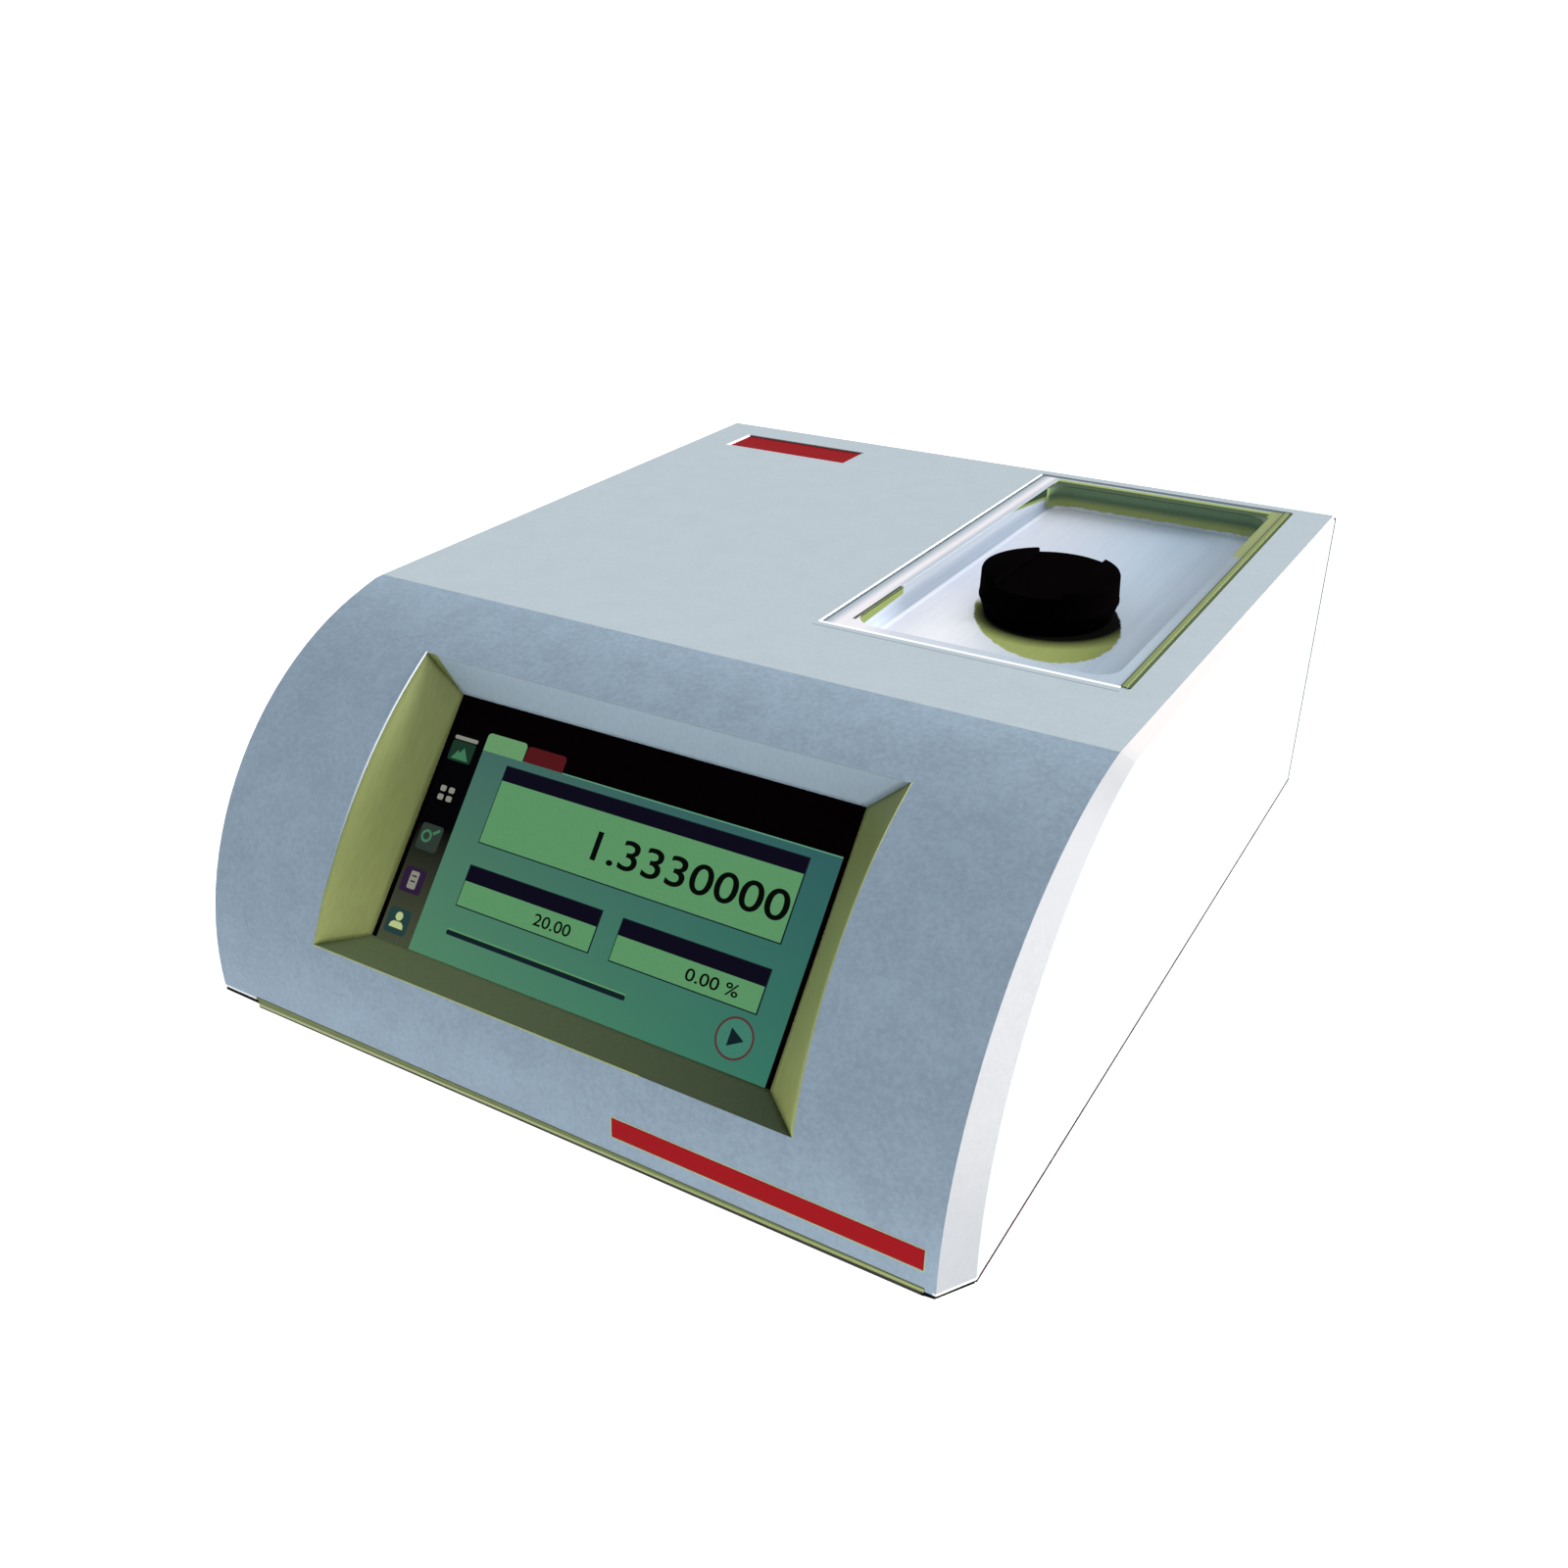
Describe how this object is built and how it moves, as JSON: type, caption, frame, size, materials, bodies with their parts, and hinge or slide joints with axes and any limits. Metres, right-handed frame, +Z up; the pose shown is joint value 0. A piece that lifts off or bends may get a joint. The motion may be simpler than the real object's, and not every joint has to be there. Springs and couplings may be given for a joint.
{
  "type": "digital abbe refractometer",
  "caption": "Bench refractometer with a curved front, recessed touch screen and a lidded measuring well in a steel tray.",
  "frame": {"origin": "on the bench, under the middle of the plan", "axes": "+Z up, the curved front and its screen look along -Y, +X to the right seen from the front"},
  "size_m": [0.29, 0.35, 0.1348],
  "materials": {
    "housing_paint": "fine textured light grey paint",
    "base_steel": "satin painted sheet steel",
    "tray_steel": "drawn stainless steel, satin",
    "polished_steel": "polished steel",
    "screw_steel": "zinc plated",
    "black_cap": "matt black moulding",
    "black_rubber": "soft black rubber",
    "screen_glass": "clear cover glass",
    "prism_glass": "polished optical glass",
    "filter_glass": "coloured filter glass",
    "red_plate": "flat red",
    "panel_black": "black moulded plastic",
    "board_green": "solder mask",
    "bare_aluminium": "milled, satin",
    "black_aluminium": "black anodised",
    "ceramic_white": "glazed ceramic",
    "brass_pin": "bright",
    "fuse_glass": "glass tube with plated caps"
  },
  "bodies": {
    "instrument": {"upper_housing": "housing_paint", "base_plate": "base_steel", "rear_panel": "housing_paint", "rubber_feet": "black_rubber", "foot_screws": "screw_steel", "housing_screws": "screw_steel", "rear_panel_screws": "screw_steel", "touch_glass": "screen_glass", "display_module": "panel_black", "display_bracket": "base_steel", "bracket_screws": "screw_steel", "display_board": "board_green", "display_board_parts": "panel_black", "top_plate": "red_plate", "front_strip": "red_plate", "sample_tray": "tray_steel", "tray_gasket": "black_rubber", "prism_ring": "polished_steel", "ring_screws": "screw_steel", "prism_seal": "black_rubber", "measuring_prism": "prism_glass", "thermostat_block": "bare_aluminium", "temperature_sensor": "polished_steel", "thermoelectric_cooler": "ceramic_white", "heat_sink": "black_aluminium", "heat_sink_posts": "polished_steel", "heat_sink_screws": "screw_steel", "fan_frame": "panel_black", "fan_screws": "screw_steel", "light_barrel": "black_aluminium", "condenser_lens": "prism_glass", "interference_filter": "filter_glass", "lamp": "prism_glass", "lamp_board": "board_green", "lamp_heat_sink": "bare_aluminium", "camera_barrel": "black_aluminium", "imaging_lens": "prism_glass", "line_sensor": "panel_black", "sensor_board": "board_green", "main_board": "board_green", "board_components": "panel_black", "board_standoffs": "brass_pin", "board_screws": "screw_steel", "power_supply": "bare_aluminium", "supply_screws": "screw_steel", "terminal_block": "panel_black", "power_inlet": "panel_black", "inlet_pins": "brass_pin", "inlet_screws": "screw_steel", "serial_socket": "polished_steel", "serial_screw_locks": "screw_steel", "usb_sockets": "polished_steel", "network_socket": "polished_steel"},
    "lid": {"lid_cap": "black_cap", "lid_seal": "black_rubber"},
    "rotor": {"fan_rotor": "panel_black"},
    "rocker": {"power_rocker": "panel_black"},
    "fuse_holder": {"fuse_drawer": "panel_black", "fuse": "fuse_glass"}
  },
  "joints": [
    {"name": "lid_lift", "type": "slide", "parent": "instrument", "child": "lid", "axis": [0, 0, 1], "range_m": [0, 0.05]},
    {"name": "fan_spin", "type": "hinge", "parent": "instrument", "child": "rotor", "pos_m": [0.075, 0.038, 0.0175], "axis": [0, 0, 1], "continuous": true},
    {"name": "power_switch", "type": "hinge", "parent": "instrument", "child": "rocker", "pos_m": [-0.104, 0.1655, 0.0862], "axis": [0, 0, 1], "range_deg": [0, 22]},
    {"name": "fuse_slide", "type": "slide", "parent": "instrument", "child": "fuse_holder", "axis": [0, 1, 0], "range_m": [0, 0.018]}
  ]
}
